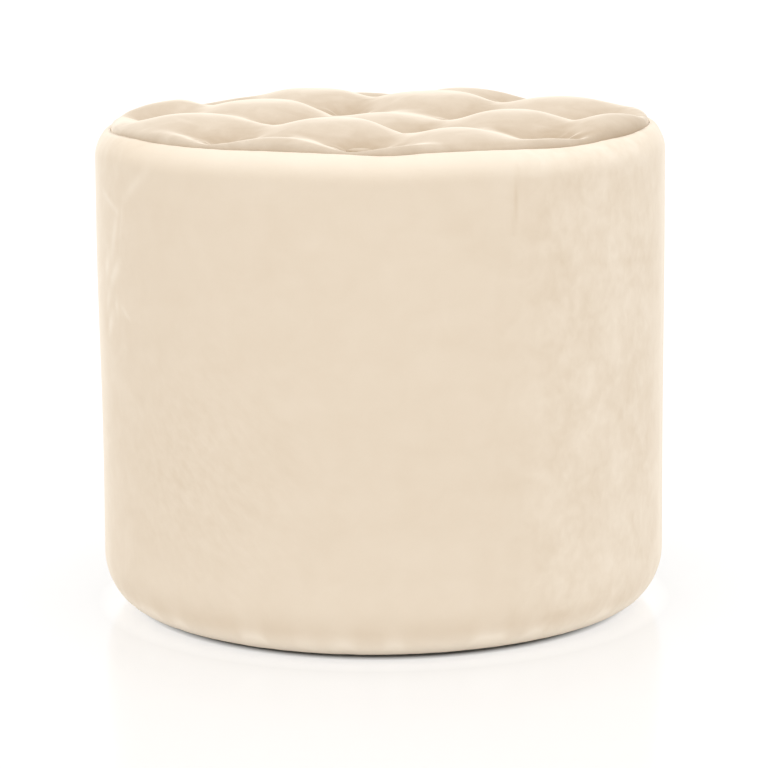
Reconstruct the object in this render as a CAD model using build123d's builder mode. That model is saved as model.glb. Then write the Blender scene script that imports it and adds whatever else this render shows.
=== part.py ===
from build123d import *

import os
from math import acos, degrees, sqrt

# A round upholstered pouf. Two plywood boards on softwood posts and a bent hardboard wall make the drum,
# foam and wadding pad it, and a sewn velvet cover with a tufted seat closes it. Millimetres, +Z up, with
# the origin on the floor under the middle of the pouf and the front towards -Y.

# Overall size
BODY_DIAMETER = 500
SEAM_HEIGHT = 424
SHOULDER_RADIUS = 20
FOOT_RADIUS = 44
COVER_LIFT = 3

# Upholstery layers
VELVET = 2
SIDE_WADDING = 4
WADDING_PINCH = 9
SEAT_FOAM = 40
LAYER_GAP = 0.2
SEAM_ALLOWANCE = 12
TURN_UNDER = 24
BUTT_GAP = 0.4
THREAD_RADIUS = 0.6
THREAD_ROOM = 0.1

# Tufting: a square grid of buttons with its corners left out, turned against the front
TUFT_PITCH = 121
TUFT_TURN = -23.5
TUFT_WAVE = 6
TUFT_MEAN = 8
CORNER_RISE = 2
CROWN_RUN = 45
CROWN_ROOM = 1
CROWN_MIDDLE_RISE = 24
BUTTON_RADIUS = 11
BUTTON_RISE = 6
BUTTON_EDGE = 1
BUTTON_WALL = 2
BUTTON_SKIRT = 1.5
BUTTON_STEM_RADIUS = 2
BUTTON_STEM = 6
BUTTON_SEAT_RISE = 1.4
TWINE_RADIUS = 1
TWINE_IN_STEM = 3
TWINE_HOLE_RADIUS = 3
KNOT_RADIUS = 2.5
TOGGLE_RADIUS = 4
TOGGLE_LENGTH = 24

# Drum
BOARD = 15
BOARD_RADIUS = 212
BOARD_EDGE_ROUNDING = 8
WALL = 3
WALL_GAP = 1
POST_COUNT = 6
POST_START_ANGLE = 37.5
POST_DEPTH = 25
POST_WIDTH = 40
POST_CLEARANCE = 2

# Fasteners
SCREW_SPACING = 20
SCREW_RADIUS = 2
SCREW_HEAD_RADIUS = 4
SCREW_HEAD = 2.4
SCREW_LENGTH = 45
SCREW_POINT = 4
SCREW_TIP_RADIUS = 0.3
DRIVE_LENGTH = 4.4
DRIVE_WIDTH = 1
DRIVE_DEPTH = 1.6
STAPLE_WIRE = 0.6
STAPLE_CROWN = 10
STAPLE_LEG = 8
STAPLE_SINK = 0.2
WALL_STAPLE_COUNT = 12
COVER_STAPLE_COUNT = 24
DUST_STAPLE_COUNT = 18

# Underside
DUST_COVER = 0.6
DUST_COVER_RADIUS = 195
COVER_STAPLE_RING = 200
DUST_STAPLE_RING = 189
GLIDE_COUNT = 6
GLIDE_RING = 160
GLIDE_RADIUS = 12
GLIDE_EDGE = 0.8
GLIDE_BOSS_RADIUS = 5
GLIDE_BOSS_ROOM = 0.2
NAIL_RADIUS = 1.2
NAIL_HEAD_RADIUS = 3
NAIL_HEAD = 0.8
NAIL_BITE = 11
NAIL_SOLE = 0.6

# Radii that follow
BODY_RADIUS = BODY_DIAMETER / 2
SEAM_RADIUS = BODY_RADIUS - SHOULDER_RADIUS
FOOT_CENTRE_RADIUS = BODY_RADIUS - FOOT_RADIUS
TURN_UNDER_RADIUS = FOOT_CENTRE_RADIUS - TURN_UNDER
SEAT_COVER_RADIUS = SEAM_RADIUS - VELVET
SEAT_PAD_RADIUS = SEAT_COVER_RADIUS - VELVET
WALL_RADIUS = BOARD_RADIUS + WALL
POST_RING = BOARD_RADIUS - POST_CLEARANCE - POST_DEPTH / 2

# Heights that follow
SHOULDER_Z = SEAM_HEIGHT - SHOULDER_RADIUS
FOOT_Z = COVER_LIFT + FOOT_RADIUS
BASE_BOTTOM = COVER_LIFT + VELVET
BASE_TOP = BASE_BOTTOM + BOARD
CREST_Z = SEAM_HEIGHT + TUFT_MEAN + 2 * TUFT_WAVE
DIP_Z = SEAM_HEIGHT + TUFT_MEAN - 2 * TUFT_WAVE
BUTTON_Z = DIP_Z + BUTTON_SEAT_RISE
FOAM_TOP = DIP_Z - VELVET - WADDING_PINCH
SEAT_TOP = FOAM_TOP - SEAT_FOAM
SEAT_BOTTOM = SEAT_TOP - BOARD
POST_LENGTH = SEAT_BOTTOM - BASE_TOP
HEM_BOTTOM = SEAM_HEIGHT - SEAM_ALLOWANCE
THREAD_Z = SEAM_HEIGHT - SEAM_ALLOWANCE / 2
WALL_BOTTOM = BASE_BOTTOM + BOARD_EDGE_ROUNDING + 1
COVER_STAPLE_Z = COVER_LIFT - STAPLE_WIRE
DUST_TOP = COVER_STAPLE_Z
DUST_BOTTOM = DUST_TOP - DUST_COVER
DUST_STAPLE_Z = DUST_BOTTOM - STAPLE_WIRE
TOGGLE_Z = SEAT_BOTTOM - TOGGLE_RADIUS

TO_BASE = (Align.CENTER, Align.CENTER, Align.MIN)
TO_TOP = (Align.CENTER, Align.CENTER, Align.MAX)

os.makedirs("parts", exist_ok=True)


# Places that repeat

GRID_STEPS = (-1.5, -0.5, 0.5, 1.5)
button_points = [
    Vector(x * TUFT_PITCH, y * TUFT_PITCH).rotate(Axis.Z, TUFT_TURN)
    for x in GRID_STEPS
    for y in GRID_STEPS
    if abs(x) + abs(y) < 2 * max(GRID_STEPS)
]
post_angles = [POST_START_ANGLE + 360 / POST_COUNT * n for n in range(POST_COUNT)]
screw_points = [
    Vector(POST_RING, side * SCREW_SPACING / 2).rotate(Axis.Z, angle)
    for angle in post_angles
    for side in (-1, 1)
]


def at_height(points, height):
    return [(point.X, point.Y, height) for point in points]


def head_up(points, height):
    return [Location((point.X, point.Y, height), (180, 0, 0)) for point in points]


def staple_places_below(ring, count, height, first_angle):
    angles = [first_angle + 360 / count * n for n in range(count)]
    return [Location((0, 0, height), (0, 0, angle)) * Pos(ring, 0, 0) for angle in angles]


def staple_places_on_wall(height):
    step = 360 / WALL_STAPLE_COUNT
    angles = [step * n for n in range(WALL_STAPLE_COUNT)]
    outside = Pos(WALL_RADIUS - STAPLE_SINK, 0, height) * Rotation(0, -90, 0)
    return [Rotation(0, 0, angle) * outside for angle in angles]


def cut_back_joint(gap):
    with Locations((0, BODY_RADIUS, 0)):
        Box(gap, BODY_RADIUS, 2 * SEAM_HEIGHT, mode=Mode.SUBTRACT)


# Patterns that are placed many times, and cut their own holes

with BuildPart() as screw_blank:
    Cone(SCREW_HEAD_RADIUS, SCREW_RADIUS, SCREW_HEAD, align=TO_BASE)
    with Locations((0, 0, SCREW_HEAD)):
        Cylinder(SCREW_RADIUS, SCREW_LENGTH - SCREW_HEAD - SCREW_POINT, align=TO_BASE)
    with Locations((0, 0, SCREW_LENGTH - SCREW_POINT)):
        Cone(SCREW_RADIUS, SCREW_TIP_RADIUS, SCREW_POINT, align=TO_BASE)

with BuildPart() as screw:
    add(screw_blank.part)
    Box(DRIVE_LENGTH, DRIVE_WIDTH, DRIVE_DEPTH, align=TO_BASE, mode=Mode.SUBTRACT)
    Box(DRIVE_WIDTH, DRIVE_LENGTH, DRIVE_DEPTH, align=TO_BASE, mode=Mode.SUBTRACT)

with BuildPart() as staple:
    Box(STAPLE_WIRE, STAPLE_CROWN, STAPLE_WIRE, align=TO_BASE)
    with GridLocations(0, STAPLE_CROWN - STAPLE_WIRE, 1, 2):
        Box(STAPLE_WIRE, STAPLE_WIRE, STAPLE_WIRE + STAPLE_LEG, align=TO_BASE)

with BuildPart() as nail:
    with Locations((0, 0, NAIL_SOLE)):
        Cylinder(NAIL_HEAD_RADIUS, NAIL_HEAD, align=TO_BASE)
        Cylinder(NAIL_RADIUS, BASE_BOTTOM + NAIL_BITE - NAIL_SOLE, align=TO_BASE)


# Fasteners

with BuildPart() as base_screws:
    with Locations(*at_height(screw_points, BASE_BOTTOM)):
        add(screw.part)
base_screws.part.label = "base_screws"
export_step(base_screws.part, "parts/base_screws.step")

with BuildPart() as seat_screws:
    with Locations(*head_up(screw_points, SEAT_TOP)):
        add(screw.part)
seat_screws.part.label = "seat_screws"
export_step(seat_screws.part, "parts/seat_screws.step")

with BuildPart() as wall_staples_lower:
    with Locations(*staple_places_on_wall((WALL_BOTTOM + BASE_TOP) / 2)):
        add(staple.part)
wall_staples_lower.part.label = "wall_staples_lower"
export_step(wall_staples_lower.part, "parts/wall_staples_lower.step")

with BuildPart() as wall_staples_upper:
    with Locations(*staple_places_on_wall(SEAT_TOP - BOARD / 2)):
        add(staple.part)
wall_staples_upper.part.label = "wall_staples_upper"
export_step(wall_staples_upper.part, "parts/wall_staples_upper.step")

with BuildPart() as cover_staples:
    spread = 360 / COVER_STAPLE_COUNT / 2
    with Locations(*staple_places_below(COVER_STAPLE_RING, COVER_STAPLE_COUNT, COVER_STAPLE_Z, spread)):
        add(staple.part)
cover_staples.part.label = "cover_staples"
export_step(cover_staples.part, "parts/cover_staples.step")

with BuildPart() as dust_cover_staples:
    with Locations(*staple_places_below(DUST_STAPLE_RING, DUST_STAPLE_COUNT, DUST_STAPLE_Z, 0)):
        add(staple.part)
dust_cover_staples.part.label = "dust_cover_staples"
export_step(dust_cover_staples.part, "parts/dust_cover_staples.step")

with BuildPart() as glide_nails:
    with PolarLocations(GLIDE_RING, GLIDE_COUNT):
        add(nail.part)
glide_nails.part.label = "glide_nails"
export_step(glide_nails.part, "parts/glide_nails.step")


# Drum

with BuildPart() as base_board:
    with BuildSketch(Plane.XY.offset(BASE_BOTTOM)):
        Circle(BOARD_RADIUS)
    extrude(amount=BOARD)
    fillet(base_board.edges().sort_by(Axis.Z)[0], BOARD_EDGE_ROUNDING)
    with Locations(*at_height(screw_points, BASE_BOTTOM)):
        add(screw_blank.part, mode=Mode.SUBTRACT)
    add(wall_staples_lower.part, mode=Mode.SUBTRACT)
    add(cover_staples.part, mode=Mode.SUBTRACT)
    add(dust_cover_staples.part, mode=Mode.SUBTRACT)
    add(glide_nails.part, mode=Mode.SUBTRACT)
base_board.part.label = "base_board"
export_step(base_board.part, "parts/base_board.step")

with BuildPart() as seat_board:
    with BuildSketch(Plane.XY.offset(SEAT_BOTTOM)):
        Circle(BOARD_RADIUS)
        with Locations(*button_points):
            Circle(TWINE_HOLE_RADIUS, mode=Mode.SUBTRACT)
    extrude(amount=BOARD)
    with Locations(*head_up(screw_points, SEAT_TOP)):
        add(screw_blank.part, mode=Mode.SUBTRACT)
    add(wall_staples_upper.part, mode=Mode.SUBTRACT)
seat_board.part.label = "seat_board"
export_step(seat_board.part, "parts/seat_board.step")

for number, angle in enumerate(post_angles, start=1):
    with BuildPart() as post:
        with BuildSketch(Plane.XY.offset(BASE_TOP)):
            with PolarLocations(POST_RING, 1, start_angle=angle):
                Rectangle(POST_DEPTH, POST_WIDTH)
        extrude(amount=POST_LENGTH)
        with Locations(*at_height(screw_points, BASE_BOTTOM)):
            add(screw_blank.part, mode=Mode.SUBTRACT)
        with Locations(*head_up(screw_points, SEAT_TOP)):
            add(screw_blank.part, mode=Mode.SUBTRACT)
    post.part.label = f"post_{number}"
    export_step(post.part, f"parts/post_{number}.step")

with BuildPart() as drum_wall:
    with BuildSketch(Plane.XY.offset(WALL_BOTTOM)):
        Circle(WALL_RADIUS)
        Circle(BOARD_RADIUS, mode=Mode.SUBTRACT)
    extrude(amount=SEAT_TOP - WALL_BOTTOM)
    cut_back_joint(WALL_GAP)
    add(wall_staples_lower.part, mode=Mode.SUBTRACT)
    add(wall_staples_upper.part, mode=Mode.SUBTRACT)
drum_wall.part.label = "drum_wall"
export_step(drum_wall.part, "parts/drum_wall.step")


# Underside

with BuildPart() as glides:
    with PolarLocations(GLIDE_RING, GLIDE_COUNT):
        Cylinder(GLIDE_RADIUS, DUST_BOTTOM, align=TO_BASE)
    chamfer(glides.faces().group_by(Axis.Z)[0].edges(), GLIDE_EDGE)
    with PolarLocations(GLIDE_RING, GLIDE_COUNT):
        Cylinder(GLIDE_BOSS_RADIUS, BASE_BOTTOM, align=TO_BASE)
    add(glide_nails.part, mode=Mode.SUBTRACT)
glides.part.label = "glides"
export_step(glides.part, "parts/glides.step")

with BuildPart() as dust_cover:
    with BuildSketch(Plane.XY.offset(DUST_BOTTOM)):
        Circle(DUST_COVER_RADIUS)
        with PolarLocations(GLIDE_RING, GLIDE_COUNT):
            Circle(GLIDE_BOSS_RADIUS + GLIDE_BOSS_ROOM, mode=Mode.SUBTRACT)
    extrude(amount=DUST_COVER)
    add(dust_cover_staples.part, mode=Mode.SUBTRACT)
dust_cover.part.label = "dust_cover"
export_step(dust_cover.part, "parts/dust_cover.step")


# Side upholstery: layers of one rounded drum profile, each with its joint at the back

SHOULDER_CENTRE = (SEAM_RADIUS, SHOULDER_Z)
FOOT_CENTRE = (FOOT_CENTRE_RADIUS, FOOT_Z)


def shoulder_arc(inset):
    return CenterArc(SHOULDER_CENTRE, SHOULDER_RADIUS - inset, 0, 90)


def foot_arc(inset, inner_radius):
    """Arc of the foot, from the side in to the given radius about the pouf's axis."""
    radius = FOOT_RADIUS - inset
    sweep = degrees(acos((inner_radius - FOOT_CENTRE_RADIUS) / radius))
    return CenterArc(FOOT_CENTRE, radius, 0, -sweep)


def cut_thread_groove():
    with Locations((0, 0, THREAD_Z)):
        Torus(SEAT_COVER_RADIUS, THREAD_RADIUS + THREAD_ROOM, mode=Mode.SUBTRACT)


with BuildPart() as side_cover:
    with BuildSketch(Plane.YZ):
        with BuildLine():
            outer_shoulder = shoulder_arc(0)
            inner_shoulder = shoulder_arc(VELVET)
            outer_foot = foot_arc(0, FOOT_CENTRE_RADIUS)
            inner_foot = foot_arc(VELVET, FOOT_CENTRE_RADIUS)
            Line(outer_shoulder @ 0, outer_foot @ 0)
            Line(inner_shoulder @ 0, inner_foot @ 0)
            Polyline(
                outer_shoulder @ 1,
                (SEAT_COVER_RADIUS, SEAM_HEIGHT),
                (SEAT_COVER_RADIUS, HEM_BOTTOM),
                (SEAM_RADIUS, HEM_BOTTOM),
                inner_shoulder @ 1,
            )
            Polyline(
                outer_foot @ 1,
                (TURN_UNDER_RADIUS, COVER_LIFT),
                (TURN_UNDER_RADIUS, BASE_BOTTOM),
                inner_foot @ 1,
            )
        make_face()
    revolve(axis=Axis.Z)
    cut_back_joint(BUTT_GAP)
    cut_thread_groove()
    add(cover_staples.part, mode=Mode.SUBTRACT)
    add(dust_cover_staples.part, mode=Mode.SUBTRACT)
side_cover.part.label = "side_cover"
export_step(side_cover.part, "parts/side_cover.step")

with BuildPart() as side_wadding:
    with BuildSketch(Plane.YZ):
        with BuildLine():
            outer_shoulder = shoulder_arc(VELVET)
            inner_shoulder = shoulder_arc(VELVET + SIDE_WADDING)
            outer_foot = foot_arc(VELVET, BOARD_RADIUS)
            inner_foot = foot_arc(VELVET + SIDE_WADDING, BOARD_RADIUS)
            Line(outer_shoulder @ 0, outer_foot @ 0)
            Line(inner_shoulder @ 0, inner_foot @ 0)
            Line(outer_shoulder @ 1, inner_shoulder @ 1)
            Line(outer_foot @ 1, inner_foot @ 1)
        make_face()
    revolve(axis=Axis.Z)
    cut_back_joint(BUTT_GAP)
side_wadding.part.label = "side_wadding"
export_step(side_wadding.part, "parts/side_wadding.step")

with BuildPart() as side_foam:
    with BuildSketch(Plane.YZ):
        with BuildLine():
            shoulder = shoulder_arc(VELVET + SIDE_WADDING)
            foot = foot_arc(VELVET + SIDE_WADDING, BOARD_RADIUS)
            Line(shoulder @ 0, foot @ 0)
            Polyline(
                foot @ 1,
                (BOARD_RADIUS, WALL_BOTTOM),
                (WALL_RADIUS, WALL_BOTTOM),
                (WALL_RADIUS, FOAM_TOP),
                (SEAM_RADIUS, FOAM_TOP),
                shoulder @ 1,
            )
        make_face()
    revolve(axis=Axis.Z)
    cut_back_joint(BUTT_GAP)
side_foam.part.label = "side_foam"
export_step(side_foam.part, "parts/side_foam.step")

with BuildPart() as back_seam_thread:
    with Locations((0, BODY_RADIUS - VELVET / 2, FOOT_Z)):
        Box(BUTT_GAP, 2 * THREAD_RADIUS, SHOULDER_Z - FOOT_Z, align=TO_BASE)
back_seam_thread.part.label = "back_seam_thread"
export_step(back_seam_thread.part, "parts/back_seam_thread.step")

with BuildPart() as top_seam_thread:
    with Locations((0, 0, THREAD_Z)):
        Torus(SEAT_COVER_RADIUS, THREAD_RADIUS)
top_seam_thread.part.label = "top_seam_thread"
export_step(top_seam_thread.part, "parts/top_seam_thread.step")


# Tufted seat: one waved form, lowered for each layer in turn

WAVE_ARCS = 9
WAVE_SECTIONS = 15
OUTER_ROW = 3
OUTER_DIPS = (1, WAVE_ARCS - 2)
QUARTER_PITCH = TUFT_PITCH / 4
HALF_PITCH = TUFT_PITCH / 2

with BuildPart() as tuft_waves:
    for row in range(WAVE_SECTIONS):
        step = row - WAVE_SECTIONS // 2
        on_puffs = step % 2 == 0
        rise = TUFT_WAVE if on_puffs else -TUFT_WAVE
        with BuildSketch(Plane.XZ.offset(step * HALF_PITCH)):
            with BuildLine():
                level = SEAM_HEIGHT + TUFT_MEAN + rise
                ends = [(QUARTER_PITCH * (2 * n - WAVE_ARCS), level) for n in range(WAVE_ARCS + 1)]
                for n in range(WAVE_ARCS):
                    bare_corner = abs(step) == OUTER_ROW and n in OUTER_DIPS
                    dip = CORNER_RISE if bare_corner else -TUFT_WAVE
                    SagittaArc(ends[n], ends[n + 1], TUFT_WAVE if n % 2 == 0 else dip)
                Polyline(ends[-1], (ends[-1][0], 0), (ends[0][0], 0), ends[0])
            make_face()
    loft()
turned_waves = tuft_waves.part.rotate(Axis.Z, TUFT_TURN)


def tufted_form(radius, drop, underside):
    """Solid under the tufted surface, lowered by drop and cut to a round of the given radius."""
    with BuildPart() as form:
        add(turned_waves.moved(Pos(0, 0, -drop)))
        with BuildSketch(Plane.XZ):
            with BuildLine():
                rim = (SEAT_COVER_RADIUS, SEAM_HEIGHT - drop)
                crest = (SEAT_COVER_RADIUS - CROWN_RUN, CREST_Z + CROWN_ROOM - drop)
                TangentArc(rim, crest, tangent=(-1, 1))
                Polyline(crest, (0, SEAM_HEIGHT + CROWN_MIDDLE_RISE - drop), (0, underside))
                Polyline((0, underside), (SEAT_COVER_RADIUS, underside), rim)
            make_face()
        revolve(axis=Axis.Z, mode=Mode.INTERSECT)
        with Locations((0, 0, underside)):
            Cylinder(radius, CREST_Z, align=TO_BASE, mode=Mode.INTERSECT)
    return form.part


def cut_at_buttons(radius, top, depth):
    with Locations(*at_height(button_points, top)):
        Cylinder(radius, depth, align=TO_TOP, mode=Mode.SUBTRACT)


with BuildPart() as top_cover:
    add(tufted_form(SEAT_COVER_RADIUS, 0, HEM_BOTTOM))
    add(tufted_form(SEAT_PAD_RADIUS, VELVET, FOAM_TOP), mode=Mode.SUBTRACT)
    cut_at_buttons(BUTTON_STEM_RADIUS, BUTTON_Z, BUTTON_STEM)
    cut_thread_groove()
top_cover.part.label = "top_cover"
export_step(top_cover.part, "parts/top_cover.step")

with BuildPart() as seat_wadding:
    add(tufted_form(SEAT_PAD_RADIUS - LAYER_GAP, VELVET + LAYER_GAP, FOAM_TOP))
    cut_at_buttons(BUTTON_STEM_RADIUS, BUTTON_Z, BUTTON_STEM)
    cut_at_buttons(TWINE_RADIUS, BUTTON_Z, SEAT_FOAM)
seat_wadding.part.label = "seat_wadding"
export_step(seat_wadding.part, "parts/seat_wadding.step")

with BuildPart() as seat_foam:
    with BuildSketch(Plane.XY.offset(SEAT_TOP)):
        Circle(WALL_RADIUS)
        with Locations(*button_points):
            Circle(TWINE_RADIUS, mode=Mode.SUBTRACT)
    extrude(amount=SEAT_FOAM)
seat_foam.part.label = "seat_foam"
export_step(seat_foam.part, "parts/seat_foam.step")


# Buttons and what draws them down

dome_rise = BUTTON_RISE - BUTTON_EDGE
dome_radius = (BUTTON_RADIUS**2 + dome_rise**2) / (2 * dome_rise)
dome_half = dome_radius - sqrt(dome_radius**2 - (BUTTON_RADIUS / 2) ** 2)
dome_points = [
    (BUTTON_RADIUS, BUTTON_EDGE),
    (BUTTON_RADIUS / 2, BUTTON_RISE - dome_half),
    (0, BUTTON_RISE),
]

with BuildPart() as button_cap:
    with BuildSketch(Plane.XZ):
        with BuildLine():
            dome = ThreePointArc(*dome_points)
            Polyline(dome @ 0, (BUTTON_RADIUS, 0), (0, 0), dome @ 1)
        make_face()
    revolve(axis=Axis.Z)
    Cylinder(BUTTON_RADIUS - BUTTON_WALL, BUTTON_SKIRT, align=TO_BASE, mode=Mode.SUBTRACT)

with BuildPart() as button_back:
    Cylinder(BUTTON_RADIUS - BUTTON_WALL, BUTTON_SKIRT, align=TO_BASE)
    Cylinder(BUTTON_STEM_RADIUS, BUTTON_STEM, align=TO_TOP)
    with Locations((0, 0, -BUTTON_STEM)):
        Cylinder(TWINE_RADIUS, TWINE_IN_STEM, align=TO_BASE, mode=Mode.SUBTRACT)

with BuildPart() as button_caps:
    with Locations(*at_height(button_points, BUTTON_Z)):
        add(button_cap.part)
button_caps.part.label = "button_caps"
export_step(button_caps.part, "parts/button_caps.step")

with BuildPart() as button_backs:
    with Locations(*at_height(button_points, BUTTON_Z)):
        add(button_back.part)
button_backs.part.label = "button_backs"
export_step(button_backs.part, "parts/button_backs.step")

with BuildPart() as tuft_twines:
    twine_top = BUTTON_Z - BUTTON_STEM + TWINE_IN_STEM
    knot_z = TOGGLE_Z - TOGGLE_RADIUS - KNOT_RADIUS
    with Locations(*at_height(button_points, twine_top)):
        Cylinder(TWINE_RADIUS, twine_top - knot_z, align=TO_TOP)
    with Locations(*at_height(button_points, knot_z)):
        Sphere(KNOT_RADIUS)
tuft_twines.part.label = "tuft_twines"
export_step(tuft_twines.part, "parts/tuft_twines.step")

with BuildPart() as twine_toggles:
    with Locations(*at_height(button_points, TOGGLE_Z)):
        Cylinder(TOGGLE_RADIUS, TOGGLE_LENGTH, rotation=(90, 0, 0))
        Cylinder(TWINE_RADIUS, 2 * TOGGLE_RADIUS, mode=Mode.SUBTRACT)
twine_toggles.part.label = "twine_toggles"
export_step(twine_toggles.part, "parts/twine_toggles.step")
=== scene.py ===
from math import acos, cos, pi, radians, sin

import bmesh
import bpy
import numpy as np
from mathutils import Matrix, Vector


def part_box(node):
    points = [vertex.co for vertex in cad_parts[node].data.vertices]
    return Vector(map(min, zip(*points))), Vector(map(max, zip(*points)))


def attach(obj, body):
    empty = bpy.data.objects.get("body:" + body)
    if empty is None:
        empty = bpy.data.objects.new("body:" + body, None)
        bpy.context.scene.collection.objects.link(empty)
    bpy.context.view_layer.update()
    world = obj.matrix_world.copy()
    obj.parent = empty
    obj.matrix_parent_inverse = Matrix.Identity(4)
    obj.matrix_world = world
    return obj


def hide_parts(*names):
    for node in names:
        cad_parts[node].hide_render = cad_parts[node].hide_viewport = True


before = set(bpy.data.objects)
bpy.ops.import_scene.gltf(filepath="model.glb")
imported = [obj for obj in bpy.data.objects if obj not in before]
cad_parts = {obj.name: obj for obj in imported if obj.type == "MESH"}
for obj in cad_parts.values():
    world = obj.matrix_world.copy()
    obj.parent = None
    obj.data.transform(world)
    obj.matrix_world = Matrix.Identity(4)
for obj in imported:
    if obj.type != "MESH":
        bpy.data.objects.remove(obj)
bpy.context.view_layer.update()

# A round velvet pouf with a tufted seat. Metres, +Z up, the front towards -Y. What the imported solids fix
# is read from them. The shoulder's and the foot's radius and the tuft grid are the solids' own sizes again.

MM = 0.001
side_low, side_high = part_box("side_cover")
foam_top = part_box("seat_foam")[1].z
cap_low, cap_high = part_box("button_caps")
dust_low, dust_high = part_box("dust_cover")

BODY_RADIUS = side_high.x
SEAM_Z = side_high.z
COVER_LIFT = side_low.z
SHOULDER_RADIUS = 20 * MM
FOOT_RADIUS = 44 * MM
SEAM_RADIUS = BODY_RADIUS - SHOULDER_RADIUS
TUFT_PITCH = 121 * MM
TUFT_TURN = radians(-23.5)

# The velvet's own sizes: its foot is fuller than the solid's round, and its hem a little shorter.
FOOT_REACH = 38 * MM
FOOT_HEIGHT = 46 * MM
TURN_UNDER = 22 * MM
SEAM_DEPTH = 9 * MM


# Helpers


def linear(hex_colour):
    """Linear colour, with alpha, from an sRGB hex value."""
    parts = [int(hex_colour[n:n + 2], 16) / 255 for n in (1, 3, 5)]
    return [p / 12.92 if p <= 0.04045 else ((p + 0.055) / 1.055) ** 2.4 for p in parts] + [1.0]


def add_node(tree, kind, inputs=None, **settings):
    """A node with its settings. Each input is a value, or the socket that feeds it."""
    node = tree.nodes.new(kind)
    for name, value in settings.items():
        setattr(node, name, value)
    for key, value in (inputs or {}).items():
        if isinstance(value, bpy.types.NodeSocket):
            tree.links.new(value, node.inputs[key])
        else:
            node.inputs[key].default_value = value
    return node


def new_piece(name, points, faces, material):
    mesh = bpy.data.meshes.new(name)
    mesh.from_pydata([tuple(p) for p in points], [], [tuple(f) for f in faces])
    mesh.polygons.foreach_set("use_smooth", [True] * len(mesh.polygons))
    mesh.materials.append(material)
    piece = bpy.data.objects.new(name, mesh)
    bpy.context.scene.collection.objects.link(piece)
    return piece


def points_of(mesh):
    flat = np.empty(3 * len(mesh.vertices))
    mesh.vertices.foreach_get("co", flat)
    return flat.reshape(-1, 3)


def keep_evaluated(piece):
    """The piece's mesh as its modifiers leave it, kept as a plain mesh."""
    mesh = bpy.data.meshes.new_from_object(piece.evaluated_get(bpy.context.evaluated_depsgraph_get()))
    piece.modifiers.clear()
    piece.data = mesh


def paint(piece, name, values):
    """A number at each point of the piece, for its material to read."""
    layer = piece.data.attributes.new(name, "FLOAT", "POINT")
    layer.data.foreach_set("value", np.clip(values, 0, 1))


def smooth_step(low, high, value):
    t = np.clip((value - low) / (high - low), 0, 1)
    return t * t * (3 - 2 * t)


def smooth_min(a, b, blend):
    share = np.clip(0.5 + 0.5 * (b - a) / blend, 0, 1)
    return b + (a - b) * share - blend * share * (1 - share)


def bump(value, centre, width):
    return np.exp(-(((value - centre) / width) ** 2))


def ripple(angle, counts, seed):
    """Uneven waves round the pouf, from about -1 to 1, the same in every run."""
    phases = np.random.default_rng(seed).uniform(0, 2 * pi, len(counts))
    return sum(np.sin(count * angle + phase) for count, phase in zip(counts, phases)) / len(counts) ** 0.5


# Materials

PAINTED_SHEEN_POWER = 9.0
SHEEN_WEIGHT = 0.5
SHEEN_ROUGHNESS = 0.3
PILE_SIZE = 1.6 * MM
PILE_DEPTH = 0.4 * MM
PILE_WEIGHT = 0.06
PATCH_SIZE = 28 * MM
FLECK_SIZE = 7.5 * MM
STROKE_SIZE = 6 * MM
STROKE_SLANT = radians(38)
CLOUD_SIZE = 34 * MM
CLOUD_WEIGHT = 0.16
WOOD_FIBRE = 0.8 * MM
PLY_PAIR = 2.6 * MM
VENEER_GRAIN = 7 * MM
FELT_FIBRE = 1.5 * MM
WELD_SPACING = 2.4 * MM


def new_material(name, roughness, metallic=0.0):
    material = bpy.data.materials.new(name)
    material.use_nodes = True
    tree = material.node_tree
    surface = tree.nodes["Principled BSDF"]
    surface.inputs["Roughness"].default_value = roughness
    surface.inputs["Metallic"].default_value = metallic
    place = add_node(tree, "ShaderNodeTexCoord").outputs["Object"]
    return material, tree, surface, place


def finish_surface(tree, surface, share, deep, pale, height, depth, strength):
    """Colour from deep to pale, by a share from 0 to 1, and a relief of a given depth from a height."""
    colour = add_node(
        tree,
        "ShaderNodeMix",
        {"Factor": share, "A": linear(deep), "B": linear(pale)},
        data_type="RGBA",
    )
    relief = add_node(tree, "ShaderNodeBump", {"Height": height, "Strength": strength, "Distance": depth})
    tree.links.new(colour.outputs["Result"], surface.inputs["Base Color"])
    tree.links.new(relief.outputs[0], surface.inputs["Normal"])


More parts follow.
